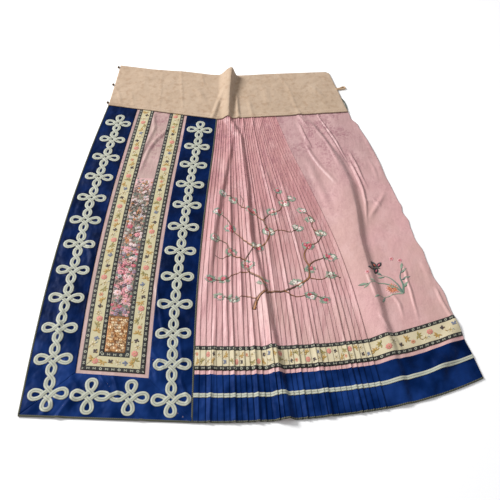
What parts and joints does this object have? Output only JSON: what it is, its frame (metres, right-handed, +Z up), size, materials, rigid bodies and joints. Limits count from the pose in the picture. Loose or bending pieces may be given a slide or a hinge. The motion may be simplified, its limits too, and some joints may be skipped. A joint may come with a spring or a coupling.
{
  "type": "horse-face skirt",
  "caption": "Wrapped horse-face skirt piece laid flat: satin-bordered panel with looped braid, knife pleats, plain panel with hem bands, and a cotton waistband.",
  "frame": {"origin": "centre of the skirt's bounding box, on the surface that it lies on", "axes": "+Z up from the surface, +Y from the hem to the waistband, +X from the bordered panel to the plain panel"},
  "size_m": [0.8102, 1.0036, 0.0277],
  "materials": {
    "silk": "damask silk",
    "satin": "satin",
    "ribbon": "woven",
    "embroidery": "stitched",
    "gold_thread": "couched metal thread",
    "braid": "woven braid",
    "binding": "bias silk",
    "cotton": "plain cotton",
    "cord": "silk cord",
    "button": "dull"
  },
  "bodies": {
    "root": {"waistband": "cotton", "waist_button_1": "button", "waist_button_2": "button", "waist_button_3": "button", "waist_loop_cloth": "cotton", "waist_loop_cord": "cord", "panel_ground": "silk", "panel_border_left": "satin", "panel_border_right": "satin", "panel_border_bottom": "satin", "panel_ribbon_left": "ribbon", "panel_ribbon_right": "ribbon", "panel_ribbon_bottom": "ribbon", "panel_gold_work": "gold_thread", "panel_embroidery": "embroidery", "panel_binding_left": "binding", "panel_binding_right": "binding", "panel_binding_hem": "binding", "braid_left": "braid", "braid_right": "braid", "braid_bottom": "braid", "pleats_ground": "silk", "pleats_hem_band": "satin", "pleats_hem_stripe": "braid", "pleats_ribbon": "ribbon", "pleats_hem_binding": "binding", "plain_ground": "silk", "plain_hem_band": "satin", "plain_hem_stripe": "braid", "plain_ribbon": "ribbon", "plain_hem_binding": "binding"}
  },
  "joints": []
}
